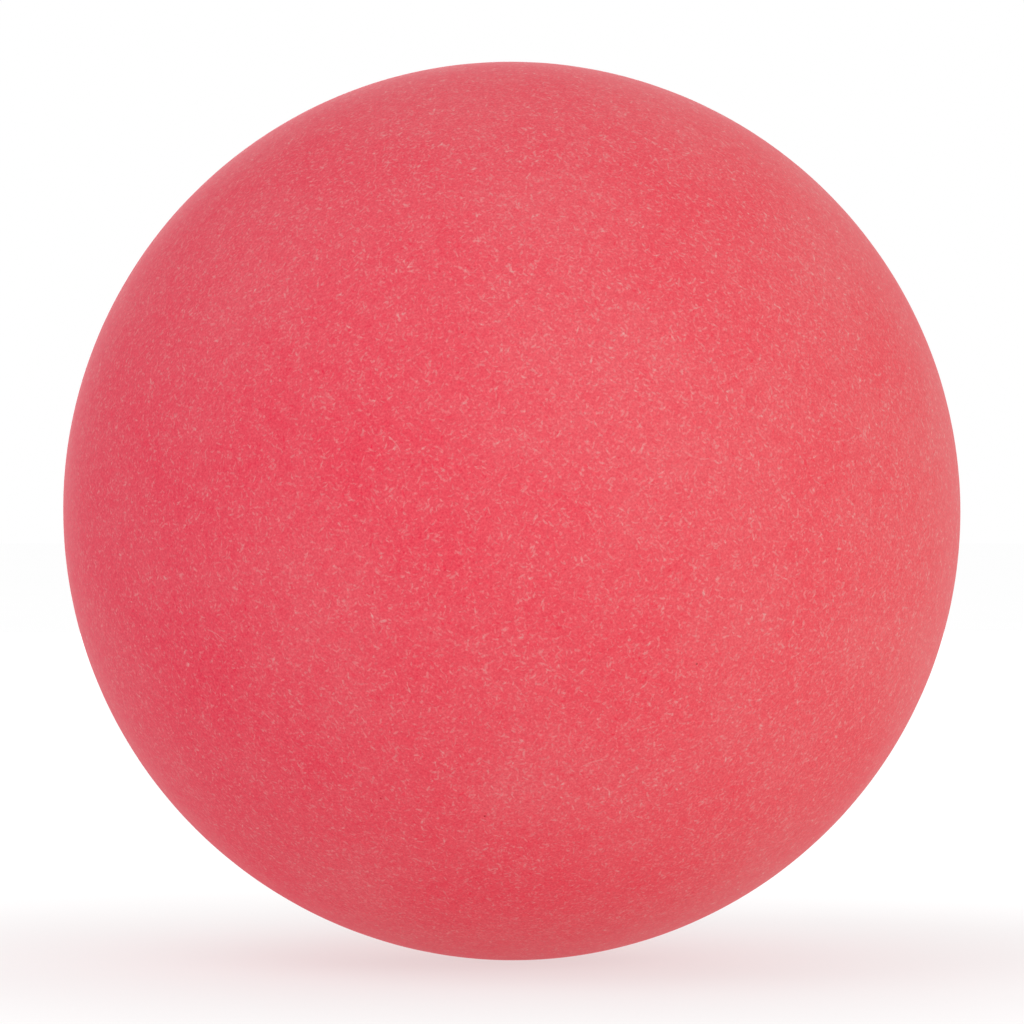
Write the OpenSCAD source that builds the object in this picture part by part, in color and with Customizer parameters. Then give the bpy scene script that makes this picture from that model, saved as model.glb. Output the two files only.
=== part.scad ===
// Quiet pickleball without holes: a soft foam core inside a thin elastomer cover.
// The cover is moulded in two halves, bonded rim to rim, and ground all over.
// The origin is the ball's centre, +Z is up, and the seam runs round the Y axis.

/* [Ball] */
// Outside diameter of the ball
ball_d = 74; // [72.9:0.1:75.4]
// Smoothness of the round surfaces in a preview
smoothness = 120; // [48:12:240]

/* [Cover] */
// Wall thickness of the moulded cover
cover_t = 0.6; // [0.5:0.1:1.2]

/* [Seam] */
// Width of the bond line where it comes out on the surface
seam_out_w = 0.4; // [0.3:0.1:0.6]
// Width of the bond line at the inner edges of the rims
seam_in_w = 0.2; // [0.1:0.05:0.3]
// Diameter of the bead of compound that squeezes in under the rims
bead_d = 0.7; // [0.4:0.1:0.8]

/* [Colours] */
// Colour of the two halves of the cover
cover_colour = "#ec5a68";
// Colour of the bonding compound
bond_colour = "#d84f5e";
// Colour of the foam core
foam_colour = "#f4eee2";

/* [Hidden] */
$fn = smoothness;

ball_r = ball_d / 2;
core_r = ball_r - cover_t;
// How far the rim gap's section runs past the ball's surface
past = 1;
// How much half the gap's width grows for each millimetre further out
gap_slope = (seam_out_w - seam_in_w) / 2 / cover_t;

// Every piece is a solid of revolution. Its section is drawn with x as the
// distance from the seam's axis and y as the place along it, and turns round Y.
module turned() {
    rotate([-90, 0, 0])
        rotate_extrude()
            intersection() {
                children();
                translate([0, -ball_r])
                    square([ball_r, ball_d]);
            }
}

// The gap between the two bevelled rims, which is widest on the outside
module gap_section() {
    inner_half = seam_in_w / 2;
    outer_half = seam_out_w / 2 + gap_slope * past;
    polygon([
        [core_r, -inner_half],
        [ball_r + past, -outer_half],
        [ball_r + past, outer_half],
        [core_r, inner_half]
    ]);
}

// The round channel under the gap, half in the rims and half in the foam
module bead_section() {
    translate([core_r, 0])
        circle(d = bead_d);
}

// One half of the cover: side is -1 in front, towards -Y, and 1 at the rear
module half_cover(side) {
    turned()
        difference() {
            circle(r = ball_r);
            circle(r = core_r);
            gap_section();
            bead_section();
            translate([-ball_r, side > 0 ? -ball_d : 0])
                square([2 * ball_d, ball_d]);
        }
}

module foam_core() {
    color(foam_colour)
        turned()
            difference() {
                circle(r = core_r);
                bead_section();
            }
}

module front_cover() {
    color(cover_colour)
        half_cover(-1);
}

module rear_cover() {
    color(cover_colour)
        half_cover(1);
}

// The compound fills the gap and the channel, and is ground flush outside
module seam_bond() {
    color(bond_colour)
        turned()
            intersection() {
                circle(r = ball_r);
                union() {
                    gap_section();
                    bead_section();
                }
            }
}

foam_core();
front_cover();
rear_cover();
seam_bond();
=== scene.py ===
"""Looks of a quiet pickleball without holes: a matt coral-red elastomer cover, moulded in two halves round
a soft foam core and ground all over, so that its surface is a nap of very short paler strokes."""

import math

import bmesh
import bpy
import numpy as np
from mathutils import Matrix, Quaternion, Vector


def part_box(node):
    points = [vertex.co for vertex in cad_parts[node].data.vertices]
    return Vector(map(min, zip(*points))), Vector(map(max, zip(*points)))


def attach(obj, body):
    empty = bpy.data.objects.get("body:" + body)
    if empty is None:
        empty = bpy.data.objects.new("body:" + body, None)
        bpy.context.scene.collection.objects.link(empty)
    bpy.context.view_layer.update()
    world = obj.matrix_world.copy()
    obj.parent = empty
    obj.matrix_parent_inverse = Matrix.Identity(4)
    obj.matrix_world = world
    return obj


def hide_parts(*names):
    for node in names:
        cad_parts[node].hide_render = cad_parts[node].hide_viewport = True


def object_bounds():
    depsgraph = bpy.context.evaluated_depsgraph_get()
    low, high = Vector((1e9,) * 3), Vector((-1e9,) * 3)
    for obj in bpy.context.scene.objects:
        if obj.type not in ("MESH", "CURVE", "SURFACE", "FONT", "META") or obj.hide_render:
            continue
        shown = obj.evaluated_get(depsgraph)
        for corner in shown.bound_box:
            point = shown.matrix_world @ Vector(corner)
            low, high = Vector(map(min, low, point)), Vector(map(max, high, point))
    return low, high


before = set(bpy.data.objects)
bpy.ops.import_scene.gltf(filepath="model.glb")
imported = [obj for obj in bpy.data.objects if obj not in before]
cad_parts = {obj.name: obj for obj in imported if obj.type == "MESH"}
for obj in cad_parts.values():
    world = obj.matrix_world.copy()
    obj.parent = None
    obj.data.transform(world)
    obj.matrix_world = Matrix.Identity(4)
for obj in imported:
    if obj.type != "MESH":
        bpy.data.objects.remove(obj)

MM = 0.001
SEED = 74

# The CAD model's own sizes, in metres
cad_low, cad_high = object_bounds()
BALL_R = (cad_high.y - cad_low.y) / 2
CORE_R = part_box("foam_core")[1].y
BEAD_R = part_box("seam_bond")[1].y
GAP_OUT = 0.2 * MM  # half the bond line's width on the surface
GAP_IN = 0.1 * MM  # half its width at the inner edges of the rims
FLOOR_Z = cad_low.z

# The ground surface
SKIN_DEPTH = 0.02 * MM  # how far the ground surface lies inside the nominal ball, at its highest
OVAL = 0.003  # how much smaller the ball is across its long way, as a share
LONG_WAY = Vector((-0.5, 0.0, 0.866))  # the way in which the ball is longest
LUMP_HEIGHT = 0.008 * MM  # the low unevenness that grinding leaves
LUMP_LENGTHS = (2.5 * MM, 9.0 * MM)
WAVE_COUNT = 60
CELLS = 96  # mesh cells along a quarter of the ball's girth
BEAD_STEPS = 14  # mesh cells round the bead
BOND_LOW = 0.012 * MM  # how much lower than the cover the bond line is ground

# The cover's colours, in linear light
DEEP = (0.744, 0.060, 0.087)
HIGHLIGHT_RIGHT = (0.0, 0.018, 0.004)  # painted highlight: how the deep colour is painted paler towards the ball's right, where the light falls
HIGHLIGHT_UP = (0.0, 0.006, 0.007)  # and towards its top, also painted highlight
NAP_PALER = (-0.03, 0.22, 0.185)  # what a whole pale stroke adds to the deep colour
GLINT_SIDE_WAY = (0.9, 0.0, 0.44)  # the lit side of the ball, towards which the nap's pale strokes are painted stronger, as painted glints
# The nap: each layer of strokes as (strength, spacing, length, width, seed, rarity, faintest), sizes in mm
NAP_LAYERS = [
    (0.42, 1.25, 0.76, 0.21, 1, 2.6, 0.0),
    (0.38, 0.88, 0.70, 0.20, 2, 1.7, 0.0),
    (0.38, 0.62, 0.66, 0.19, 3, 1.0, -0.4),
    (0.27, 0.44, 0.52, 0.19, 4, 0.8, -0.4),
]
RAISED_LAYERS = 2  # how many of the layers, from the coarsest, stand proud in the bump
STROKE_BOW = 0.12  # the most that a stroke is bowed, as a share of its length
CHANCE_MIX = 7.3  # any number well over 1 that isn't whole
WANDER = 0.15  # how far the strokes are pushed out of true, in mm

# Pinholes as (azimuth, elevation), and scratches as (azimuth, elevation, tilt, length in mm)
# The pinholes' dark red is painted shade at the bottom of each pit
PIT_SHADE_COLOUR = (0.42, 0.02, 0.03, 1)
HOLE_RADIUS = 0.1 * MM
HOLE_DEPTH = 0.07 * MM
HOLE_SHADE = 0.12  # how far the painted shade of a pinhole reaches from the middle of its bottom, in mm
# A pinhole's section from the outside in, as shares of its radius and depth
HOLE_STEPS = [(1.0, 0.0), (0.9, 3 / 7), (0.6, 1.0)]
FRONT_HOLES = [(-20, -37), (24, -18.5), (-4, -39.5)]
REAR_HOLES = 6
SCRATCHES = [
    (11.5, -31.5, 20, 2.8),
    (-14, 8, -50, 2.2),
    (38, 24, 65, 1.8),
    (140, 15, 30, 2.6),
    (205, -25, -20, 2.2),
]
SCRATCH_HALF_WIDTH = 0.09  # in mm
SCRATCH_BOW = 0.1  # as a share of its length
SCRATCH_PALER = 0.35

# The light: how bright the room is on each side of the ball, where white is 1
ROOM_LEFT = 0.68
ROOM_RIGHT = 0.78
GLOW_NEAR = 0.60  # the table top's own light close to the ball, dimmer than further out: a painted shadow round the ball
GLOW_FAR = 0.74
GLOW_SPREAD = (30, 110)  # where it goes from one to the other, in mm from the ball's centre
# Soft boxes as (name, azimuth, elevation, watts)
SOFT_BOXES = [
    ("key", 30, 18, 3.4),
    ("left_fill", -50, 55, 2.0),
    ("rear_fill", 185, 8, 3.2),
]

# The camera
CAMERA_DISTANCE = 0.45
OUTLINE_SHARE = 0.8789  # the ball's outline, as a share of the frame's half width
AIM = Vector((0.00002, 0.0, -0.000086))


# ---------------------------------------------------------------- node helpers

# The Mix node's colour sockets share their names with its other sockets, so they go by number
COLOUR_A = 6
COLOUR_B = 7
COLOUR_RESULT = 2


class Tree:
    """A short way to write the node tree of a material or a world."""

    def __init__(self, owner):
        owner.use_nodes = True
        self.nodes = owner.node_tree.nodes
        self.links = owner.node_tree.links
        self.nodes.clear()

    def put(self, value, socket):
        if isinstance(value, bpy.types.NodeSocket):
            self.links.new(value, socket)
        elif value is not None:
            socket.default_value = value

    def math(self, operation, a, b=None, c=None, clamp=False):
        node = self.nodes.new("ShaderNodeMath")
        node.operation = operation
        node.use_clamp = clamp
        for value, socket in zip((a, b, c), node.inputs):
            self.put(value, socket)
        return node.outputs[0]

    def vector(self, operation, a, b=None):
        node = self.nodes.new("ShaderNodeVectorMath")
        node.operation = operation
        self.put(a, node.inputs[0])
        self.put(b, node.inputs[1])
        return node.outputs["Value" if operation in ("DOT_PRODUCT", "LENGTH", "DISTANCE") else "Vector"]

    def scaled(self, vector, by):
        node = self.nodes.new("ShaderNodeVectorMath")
        node.operation = "SCALE"
        self.put(vector, node.inputs[0])
        self.put(by, node.inputs["Scale"])
        return node.outputs["Vector"]

    def channels(self, colour):
        node = self.nodes.new("ShaderNodeSeparateXYZ")
        self.put(colour, node.inputs[0])
        return node.outputs

    def noise(self, place, scale, detail=2.0, roughness=0.5, output="Fac"):
        node = self.nodes.new("ShaderNodeTexNoise")
        self.put(place, node.inputs["Vector"])
        node.inputs["Scale"].default_value = scale
        node.inputs["Detail"].default_value = detail
        node.inputs["Roughness"].default_value = roughness
        return node.outputs[output]

    def cells(self, place, scale):
        node = self.nodes.new("ShaderNodeTexVoronoi")
        self.put(place, node.inputs["Vector"])
        node.inputs["Scale"].default_value = scale
        return node.outputs

    def spread(self, value, from_low, from_high, to_low=0.0, to_high=1.0, smooth=False):
        node = self.nodes.new("ShaderNodeMapRange")
        node.interpolation_type = "SMOOTHSTEP" if smooth else "LINEAR"
        for name, number in (
            ("Value", value),
            ("From Min", from_low),
            ("From Max", from_high),
            ("To Min", to_low),
            ("To Max", to_high),
        ):
            self.put(number, node.inputs[name])
        return node.outputs["Result"]

    def blend(self, share, a, b):
        node = self.nodes.new("ShaderNodeMix")
        node.data_type = "RGBA"
        self.put(share, node.inputs["Factor"])
        self.put(a, node.inputs[COLOUR_A])
        self.put(b, node.inputs[COLOUR_B])
        return node.outputs[COLOUR_RESULT]

    def bump(self, height, distance):
        node = self.nodes.new("ShaderNodeBump")
        self.put(height, node.inputs["Height"])
        node.inputs["Distance"].default_value = distance
        node.inputs["Strength"].default_value = 1.0
        return node.outputs["Normal"]

    def place_in_mm(self):
        """The place on the piece, in millimetres in the row frame."""
        return self.scaled(self.nodes.new("ShaderNodeTexCoord").outputs["Object"], 1 / MM)

    def finish(self, colour, roughness, normal=None, **even):
        """The one Principled shader. even holds the values that are the same all over the surface."""
        shader = self.nodes.new("ShaderNodeBsdfPrincipled")
        self.put(colour, shader.inputs["Base Color"])
        self.put(roughness, shader.inputs["Roughness"])
        self.put(normal, shader.inputs["Normal"])
        for name, value in even.items():
            shader.inputs[name.replace("_", " ")].default_value = value
        out = self.nodes.new("ShaderNodeOutputMaterial")
        self.links.new(shader.outputs[0], out.inputs["Surface"])
        return shader


def stroke_mark(tree, off, outward, lengthwise, half_length, half_width, bow):
    """1 in the middle of a short, slightly bowed stroke and 0 outside it.

    off leads from the stroke's middle to the place in question."""
    sideways = tree.vector("CROSS_PRODUCT", outward, lengthwise)
    along = tree.math("DIVIDE", tree.vector("DOT_PRODUCT", off, lengthwise), half_length)
    along_squared = tree.math("MULTIPLY", along, along)
    across = tree.math("MULTIPLY_ADD", along_squared, bow, tree.vector("DOT_PRODUCT", off, sideways))
    across = tree.math("DIVIDE", across, half_width)
    reach = tree.math("MULTIPLY_ADD", across, across, along_squared)
    return tree.spread(reach, 1.0, 0.0, smooth=True)


def strokes(tree, place, outward, spacing, length, width, seed, rarity=1.0, faintest=0.0):
    """A layer of short strokes that lie flat in the surface, each in its own direction: up to 1 on a stroke.

    Every cell of a Voronoi texture holds one stroke. Its middle is the cell's point, and its direction is
    a random vector turned into the surface. All sizes are in millimetres. A higher rarity leaves fewer
    strokes that are strong, and a faintest value below 0 makes some of them deeper than the ground."""
    shift = np.random.default_rng(seed).uniform(-50, 50, 3)
    cell = tree.cells(tree.vector("ADD", place, tuple(shift)), 1 / spacing)
    middle = tree.vector("SUBTRACT", cell["Position"], tuple(shift))
    chance = tree.channels(cell["Color"])
    turned = tree.vector("SUBTRACT", cell["Color"], (0.5, 0.5, 0.5))
    lengthwise = tree.vector("NORMALIZE", tree.vector("CROSS_PRODUCT", outward, turned))
    off = tree.vector("SUBTRACT", place, middle)
    half_length = tree.spread(chance[0], 0, 1, 0.2 * length, 0.65 * length)
    half_width = tree.spread(chance[1], 0, 1, 0.35 * width, 0.7 * width)
    bow = tree.spread(chance[2], 0, 1, -STROKE_BOW * length, STROKE_BOW * length)
    mark = stroke_mark(tree, off, outward, lengthwise, half_length, half_width, bow)
    # A fourth random value, which is mixed from two of the cell's three
    mixed = tree.math("FRACT", tree.math("MULTIPLY", tree.math("ADD", chance[0], chance[2]), CHANCE_MIX))
    strength = tree.spread(tree.math("POWER", mixed, rarity), 0, 1, faintest, 1)
    return tree.math("MULTIPLY", mark, strength)


def direction(azimuth, elevation):
    """A unit vector. Azimuth 0 points at the camera and 90 to the ball's right, in degrees."""
    turn, rise = math.radians(azimuth), math.radians(elevation)
    return Vector((math.sin(turn) * math.cos(rise), -math.cos(turn) * math.cos(rise), math.sin(rise)))


def spots(tree, place, middles, radius):
    """1 inside small round spots, which fades to 0 at their radius. middles are points in millimetres."""
    total = None
    for middle in middles:
        away = tree.vector("DISTANCE", place, tuple(middle))
        spot = tree.spread(away, 0.4 * radius, radius, 1.0, 0.0, smooth=True)
        total = spot if total is None else tree.math("MAXIMUM", total, spot)
    return total


# ---------------------------------------------------------------- materials


def pinholes():
    """The pinholes' directions, each in the middle of a mesh cell. The rear ones are placed at random."""
    random = np.random.default_rng(SEED)
    rear = [(random.uniform(105, 255), random.uniform(-50, 50)) for _ in range(REAR_HOLES)]
    return [cell_middle(direction(*angles)) for angles in FRONT_HOLES + rear]


def whole_nap(tree, place, outward):
    """All the layers of strokes together, and the coarse ones by themselves, which the bump raises."""
    nap = 0.0
    for number, (gain, *kind) in enumerate(NAP_LAYERS, start=1):
        nap = tree.math("MULTIPLY_ADD", strokes(tree, place, outward, *kind), gain, nap)
        if number == RAISED_LAYERS:
            raised = nap
    return nap, raised


def scratched(tree, place, outward, pale):
    """The paleness with the few longer scratches added."""
    for azimuth, elevation, tilt, length in SCRATCHES:
        way = direction(azimuth, elevation)
        lengthwise = Vector((0, 0, 1)).cross(way).normalized()
        lengthwise.rotate(Quaternion(way, math.radians(tilt)))
        off = tree.vector("SUBTRACT", place, tuple(way * BALL_R / MM))
        form = (length / 2, SCRATCH_HALF_WIDTH, SCRATCH_BOW * length)
        scratch = stroke_mark(tree, off, outward, tuple(lengthwise), *form)
        pale = tree.math("MULTIPLY_ADD", scratch, SCRATCH_PALER, pale)
    return pale


def cover_material():
    """The ground cover: deep coral under a nap of pale strokes, with painted highlight: paler, and with a
    stronger nap, towards its lit right and top.
    """
    material = bpy.data.materials.new("ground_elastomer")
    tree = Tree(material)
    place = tree.place_in_mm()
    outward = tree.vector("NORMALIZE", place)

    wander = tree.vector("SUBTRACT", tree.noise(place, 3.5, 1.0, output="Color"), (0.5, 0.5, 0.5))
    bent = tree.vector("ADD", place, tree.scaled(wander, WANDER))
    nap, raised = whole_nap(tree, bent, outward)
    grain = tree.noise(place, 6.0, 1.0, 0.6)
    clumps = tree.noise(place, 1.0, 3.0, 0.65)
    drift = tree.noise(place, 0.07, 3.0, 0.6)
    lit_side = tree.vector("DOT_PRODUCT", outward, GLINT_SIDE_WAY)

    # The nap is stronger in clumps, and it is painted stronger towards the lit side, as painted glints
    pale = tree.math("MULTIPLY", nap, tree.spread(clumps, 0.25, 0.75, 0.35, 1.65))
    pale = tree.math("MULTIPLY", pale, tree.spread(lit_side, -1, 1, 0.82, 1.18))
    # The ground between the strokes varies too, from fine grain to broad, soft mottling
    pale = tree.math("ADD", pale, tree.spread(grain, 0.2, 0.8, -0.09, 0.09))
    pale = tree.math("ADD", pale, tree.spread(clumps, 0.2, 0.8, -0.09, 0.09))
    pale = tree.math("ADD", pale, tree.spread(drift, 0.3, 0.7, -0.075, 0.075))
    pale = scratched(tree, bent, outward, pale)

    # Painted highlight: the deep colour is painted paler towards the ball's right and top, where the light
    # falls
    sides = tree.channels(outward)
    deep = tree.vector("ADD", tree.scaled(HIGHLIGHT_RIGHT, sides[0]), DEEP)
    deep = tree.vector("ADD", tree.scaled(HIGHLIGHT_UP, sides[2]), deep)
    colour = tree.vector("ADD", deep, tree.scaled(NAP_PALER, pale))
    # Painted shade at the bottom of each pinhole's pit
    bottom = BALL_R - SKIN_DEPTH - HOLE_DEPTH
    holes = spots(tree, place, [way * bottom / MM for way in pinholes()], HOLE_SHADE)
    colour = tree.blend(holes, colour, PIT_SHADE_COLOUR)
    # The fine grain also makes the colour a little lighter and darker: painted shading of the grain's relief
    colour = tree.scaled(colour, tree.spread(grain, 0.2, 0.8, 0.89, 1.11))

    roughness = tree.spread(grain, 0.2, 0.8, 0.66, 0.74)
    height = tree.math("ADD", tree.math("MULTIPLY", raised, 0.6), tree.math("MULTIPLY", grain, 0.6))
    normal = tree.bump(height, 0.008 * MM)
    tree.finish(colour, roughness, normal, IOR=1.5, Sheen_Weight=0.05, Sheen_Roughness=0.3)
    return material


def bond_material():
    """Bonding compound: the cover's colour, a little deeper and closer, with the marks of the grinding."""
    material = bpy.data.materials.new("bonding_compound")
    tree = Tree(material)
    place = tree.place_in_mm()
    outward = tree.vector("NORMALIZE", place)
    marks = strokes(tree, place, outward, 0.6, 0.6, 0.15, 11)
    grain = tree.noise(place, 5.0, 4.0, 0.6)
    pale = tree.math("ADD", tree.math("MULTIPLY", marks, 0.4), tree.spread(grain, 0.25, 0.75, 0.0, 0.35))
    colour = tree.blend(pale, (0.62, 0.040, 0.066, 1), (0.78, 0.16, 0.18, 1))
    normal = tree.bump(grain, 0.01 * MM)
    tree.finish(colour, tree.spread(grain, 0.3, 0.7, 0.6, 0.75), normal, IOR=1.45, Sheen_Weight=0.2)
    return material


def foam_material():
    """Closed-cell foam: a creamy moulded skin over small round cells of mixed sizes."""
    material = bpy.data.materials.new("closed_cell_foam")
    tree = Tree(material)
    place = tree.place_in_mm()
    small = tree.cells(place, 2.2)["Distance"]
    large = tree.cells(place, 0.9)["Distance"]
    walls = tree.math("MAXIMUM", tree.spread(small, 0.1, 0.6), tree.spread(large, 0.2, 0.75))
    mottle = tree.noise(place, 0.25, 3.0, 0.55)
    tone = tree.math("MULTIPLY", walls, tree.spread(mottle, 0.3, 0.7, 0.6, 1.0), clamp=True)
    colour = tree.blend(tone, (0.78, 0.69, 0.55, 1), (0.93, 0.88, 0.78, 1))
    normal = tree.bump(walls, 0.06 * MM)
    tree.finish(colour, tree.spread(walls, 0, 1, 0.95, 0.8), normal, IOR=1.4)
    return material


def floor_material():
    """A translucent white table top, which is lit from below as well, so that the shadow stays faint."""
    material = bpy.data.materials.new("lit_table_top")
    tree = Tree(material)
    place = tree.place_in_mm()
    grain = tree.noise(place, 0.02, 3.0)
    colour = tree.blend(grain, (0.32, 0.32, 0.32, 1), (0.34, 0.34, 0.34, 1))
    shader = tree.finish(colour, 0.9, Specular_IOR_Level=0.0, Emission_Color=(1, 1, 1, 1))
    # The glow is dimmer close to the ball, which paints a soft shadow round it on the table
    glow = tree.spread(tree.vector("LENGTH", place), *GLOW_SPREAD, GLOW_NEAR, GLOW_FAR, smooth=True)
    tree.put(glow, shader.inputs["Emission Strength"])
    return material


# ---------------------------------------------------------------- the ball's surface


def waves(count, seed):
    """Plane waves of random directions and lengths, which together make a low, even unevenness."""
    random = np.random.default_rng(seed)
    ways = random.normal(size=(count, 3))
    ways /= np.linalg.norm(ways, axis=1)[:, None]
    lengths = random.uniform(*LUMP_LENGTHS, count)
    return ways * (2 * math.pi / lengths)[:, None], random.uniform(0, 2 * math.pi, count)


WAVES = waves(WAVE_COUNT, SEED)


def surface_radius(directions):
    """The ground ball's radius in each of these unit directions."""
    along = directions @ np.array(LONG_WAY)
    nominal = (BALL_R - SKIN_DEPTH) * (1 - OVAL * (1 - along**2))
    vectors, phases = WAVES
    lumps = np.cos(directions @ vectors.T * BALL_R + phases).sum(1) / math.sqrt(len(phases))
    return nominal - LUMP_HEIGHT * (1 + np.clip(lumps / 2, -1, 1))


def set_points(vertices, points):
    for vertex, point in zip(vertices, points):
        vertex.co = point


def unit(points):
    return points / np.linalg.norm(points, axis=1)[:, None]


def quad_ball(cells):
    """A bmesh ball of even square cells, cells of them along each quarter of its girth."""
    ball = bmesh.new()
    bmesh.ops.create_cube(ball, size=2)
    bmesh.ops.subdivide_edges(ball, edges=ball.edges[:], cuts=cells - 1, use_grid_fill=True)
    flat = np.array([v.co for v in ball.verts])
    set_points(ball.verts, unit(np.tan(flat * math.pi / 4)))
    return ball


def cell_middle(way):
    """The middle of the mesh cell that this direction falls in, as a unit vector."""
    way = np.array(way)
    face = int(np.argmax(np.abs(way)))
    flat = np.arctan(way / abs(way[face])) * 4 / math.pi
    middle = (np.floor((flat + 1) / 2 * CELLS) + 0.5) * 2 / CELLS - 1
    middle[face] = math.copysign(1.0, way[face])
    return unit(np.tan(middle * math.pi / 4)[None, :])[0]


def sink_pinholes(shell, side):
    """Sinks a real pit into the outer mesh cell under each pinhole of this half."""
    faces = shell.faces[:]
    middles = np.array([f.calc_center_median() for f in faces])
    heights = np.linalg.norm(middles, axis=1)
    for way in pinholes():
        if way[1] * side < 0:
            continue
        nearness = np.where(heights > (BALL_R + CORE_R) / 2, middles @ way / heights, -1)
        cell = faces[int(np.argmax(nearness))]
        outward = Vector(way)
        surface = float(surface_radius(way[None, :])[0])
        for radius_share, depth_share in HOLE_STEPS:
            # The inset's own width doesn't count, because its corners are placed next
            bmesh.ops.inset_individual(shell, faces=[cell], thickness=0.02 * MM)
            middle = outward * (surface - HOLE_DEPTH * depth_share)
            for vertex in cell.verts:
                spoke = vertex.co - middle
                spoke -= outward * spoke.dot(outward)
                vertex.co = middle + spoke.normalized() * HOLE_RADIUS * radius_share


def rim_rings():
    """The rim's section from the outside in, as (radius, distance from the seam) in metres.

    The rims keep a little further apart than the bond's flanks, and then follow its round bead."""
    rings = [(BALL_R - 0.1 * MM, GAP_OUT * 0.9)]
    top = math.asin(GAP_IN * 1.4 / BEAD_R)
    for step in range(5):
        angle = top + (math.pi / 2 - top) * step / 4
        rings.append((CORE_R + BEAD_R * math.cos(angle), BEAD_R * math.sin(angle)))
    return rings


def settle(vertices, ways, radii, side, gap):
    """Puts points at these radii in these directions, and moves the ones at the rim off the seam by gap."""
    points = ways * radii[:, None]
    at_rim = np.abs(ways[:, 1]) < 1e-6
    points[at_rim] *= (np.sqrt(radii[at_rim] ** 2 - gap**2) / radii[at_rim])[:, None]
    points[at_rim, 1] = side * gap
    set_points(vertices, points)


def close_rim(shell, side):
    """Joins the outer skin to the inner one along the rim."""
    between = (BALL_R + CORE_R) / 2
    loops = [e for e in shell.edges if e.is_boundary]
    rim = [e for e in loops if e.verts[0].co.length > between]
    hem = [e for e in loops if e.verts[0].co.length < between]
    for radius, gap in rim_rings():
        grown = bmesh.ops.extrude_edge_only(shell, edges=rim)["geom"]
        rim = [g for g in grown if isinstance(g, bmesh.types.BMEdge)]
        for vertex in (g for g in grown if isinstance(g, bmesh.types.BMVert)):
            flat = Vector((vertex.co.x, 0, vertex.co.z)).normalized() * radius
            vertex.co = (flat.x, side * gap, flat.z)
    bmesh.ops.bridge_loops(shell, edges=rim + hem)
    bmesh.ops.remove_doubles(shell, verts=shell.verts[:], dist=1e-7)


def cover_half(name, side):
    """Half of the cover as a closed shell. side is -1 in front and 1 at the rear."""
    shell = quad_ball(CELLS)
    far = [v for v in shell.verts if v.co.y * side < -1e-6]
    bmesh.ops.delete(shell, geom=far, context="VERTS")
    outer = shell.verts[:]
    directions = np.array([v.co for v in outer])
    inner = bmesh.ops.duplicate(shell, geom=shell.faces[:] + shell.edges[:] + outer)
    inner_vertices = [g for g in inner["geom"] if isinstance(g, bmesh.types.BMVert)]
    inner_faces = [g for g in inner["geom"] if isinstance(g, bmesh.types.BMFace)]
    bmesh.ops.reverse_faces(shell, faces=inner_faces)
    settle(outer, directions, surface_radius(directions), side, GAP_OUT)
    inner_ways = np.array([v.co for v in inner_vertices])
    settle(inner_vertices, inner_ways, np.full(len(inner_ways), CORE_R), side, BEAD_R)
    close_rim(shell, side)
    sink_pinholes(shell, side)
    bmesh.ops.recalc_face_normals(shell, faces=shell.faces[:])
    return mesh_piece(name, shell)


def seam_ring(name):
    """The bond as a closed ring: its ground outer face, the V's two flanks and the round bead inside."""
    turns = 4 * CELLS  # as many as the covers' rims have
    top = math.asin(GAP_IN / BEAD_R)
    outer_face = (GAP_OUT, 0.0, -GAP_OUT)
    round_part = [top + (2 * math.pi - 2 * top) * i / BEAD_STEPS for i in range(BEAD_STEPS + 1)]
    ring = bmesh.new()
    loops = []
    for turn in range(turns):
        angle = 2 * math.pi * turn / turns
        way = np.array([[math.cos(angle), 0.0, math.sin(angle)]])
        outside = float(surface_radius(way)[0]) - BOND_LOW
        points = [(outside, y) for y in outer_face]
        points += [(CORE_R + BEAD_R * math.cos(a), -BEAD_R * math.sin(a)) for a in round_part]
        loops.append([ring.verts.new((way[0, 0] * r, y, way[0, 2] * r)) for r, y in points])
    for here, there in zip(loops, loops[1:] + loops[:1]):
        for i in range(len(here)):
            j = (i + 1) % len(here)
            ring.faces.new((here[i], here[j], there[j], there[i]))
    bmesh.ops.recalc_face_normals(ring, faces=ring.faces[:])
    return mesh_piece(name, ring)


def mesh_piece(name, shape):
    mesh = bpy.data.meshes.new(name)
    shape.to_mesh(mesh)
    shape.free()
    mesh.shade_smooth()
    mesh.set_sharp_from_angle(angle=math.radians(35))
    piece = bpy.data.objects.new(name, mesh)
    bpy.context.scene.collection.objects.link(piece)
    return piece


# ---------------------------------------------------------------- stage, light and camera


def lay_floor():
    """A wide round table top under the ball."""
    shape = bmesh.new()
    bmesh.ops.create_circle(shape, cap_ends=True, radius=6.0, segments=96)
    for vertex in shape.verts:
        vertex.co.z = FLOOR_Z
    floor = mesh_piece("floor", shape)
    floor.data.materials.append(floor_material())


def soft_light(name, azimuth, elevation, watts, distance=1.2, size=0.8):
    """A round soft box that faces the ball. Azimuth 0 is in front of it and 90 on its right."""
    way = direction(azimuth, elevation)
    light = bpy.data.lights.new(name, "AREA")
    light.shape = "DISK"
    light.size = size
    light.energy = watts
    lamp = bpy.data.objects.new(name, light)
    lamp.location = way * distance
    lamp.rotation_mode = "QUATERNION"
    lamp.rotation_quaternion = way.to_track_quat("Z", "Y")
    lamp.visible_camera = False
    bpy.context.scene.collection.objects.link(lamp)


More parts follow.
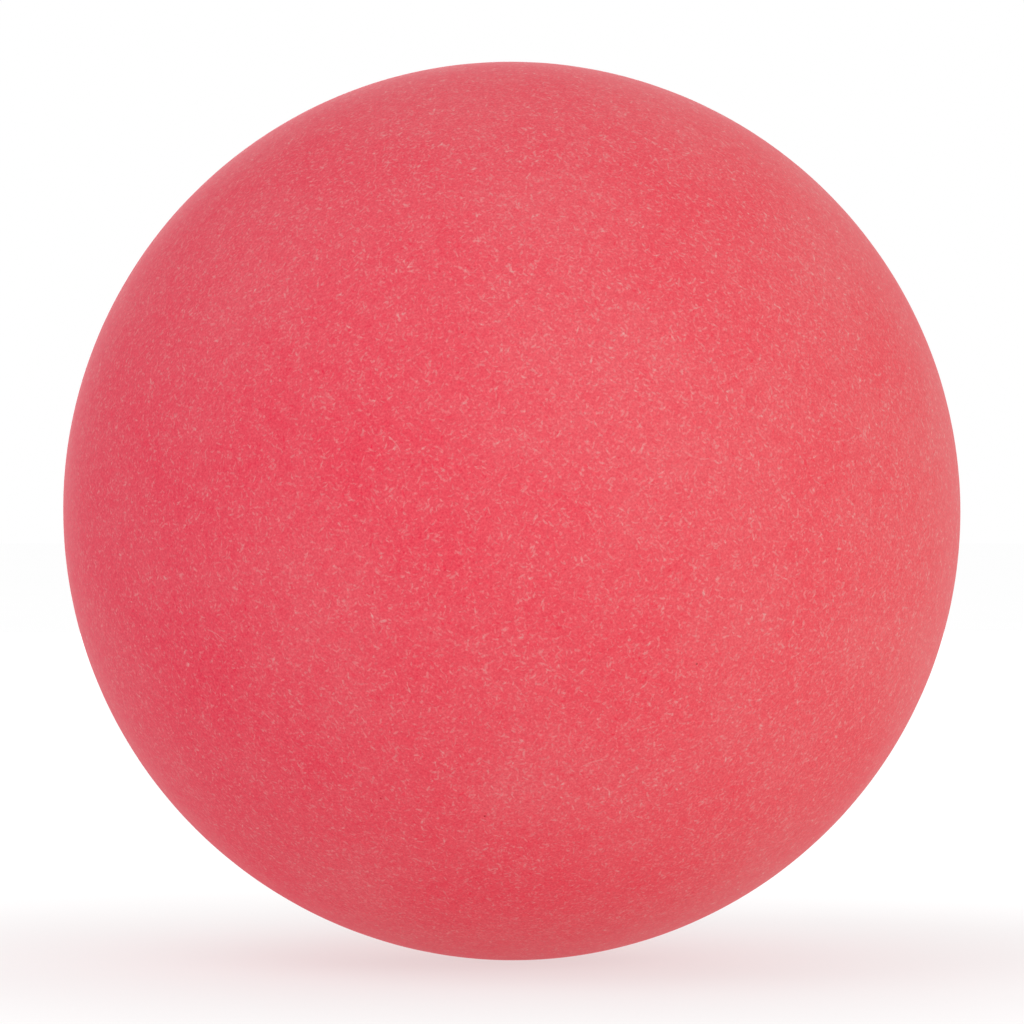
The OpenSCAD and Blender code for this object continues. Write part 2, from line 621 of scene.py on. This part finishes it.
def light_scene():
    """A white room with soft boxes, brightest behind the ball and at the horizon, dimmest on its left."""
    world = bpy.data.worlds.new("white_room")
    tree = Tree(world)
    way = tree.channels(tree.nodes.new("ShaderNodeTexCoord").outputs["Generated"])
    background = tree.nodes.new("ShaderNodeBackground")
    room = tree.spread(way[0], -1, 1, ROOM_LEFT, ROOM_RIGHT)
    backdrop = tree.spread(way[1], 0.6, 0.92, 0.0, 1.0, smooth=True)
    horizon = tree.spread(way[2], 0.0, 0.2, 1.0, 0.0, smooth=True)
    white = tree.math("MAXIMUM", backdrop, horizon)
    strength = tree.math("MULTIPLY_ADD", white, tree.math("SUBTRACT", 1.0, room), room)
    tree.put(strength, background.inputs["Strength"])
    out = tree.nodes.new("ShaderNodeOutputWorld")
    tree.links.new(background.outputs[0], out.inputs["Surface"])
    background.inputs["Color"].default_value = (1, 1, 1, 1)
    bpy.context.scene.world = world
    for box in SOFT_BOXES:
        soft_light(*box)
    bpy.context.scene.view_settings.view_transform = "Standard"


def place_camera():
    """A camera level with the ball's centre, which looks along +Y."""
    data = bpy.data.cameras.new("camera")
    slope = math.tan(math.asin(BALL_R / CAMERA_DISTANCE))
    data.lens = data.sensor_width / 2 * OUTLINE_SHARE / slope
    data.clip_start = 0.01
    data.clip_end = 20
    camera = bpy.data.objects.new("camera", data)
    camera.location = AIM + Vector((0, -CAMERA_DISTANCE, 0))
    camera.rotation_euler = (math.pi / 2, 0, 0)
    bpy.context.scene.collection.objects.link(camera)
    bpy.context.scene.camera = camera


# ---------------------------------------------------------------- the ball

place_camera()
light_scene()
lay_floor()

cover = cover_material()
for half_name, node, side in (
    ("front_cover_skin", "front_cover", -1),
    ("rear_cover_skin", "rear_cover", 1),
):
    half = cover_half(half_name, side)
    half.data.materials.append(cover)
    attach(half, "root")
    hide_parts(node)

bond = seam_ring("seam_bond_ring")
bond.data.materials.append(bond_material())
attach(bond, "root")
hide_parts("seam_bond")

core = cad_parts["foam_core"]
core.data.materials.clear()
core.data.materials.append(foam_material())
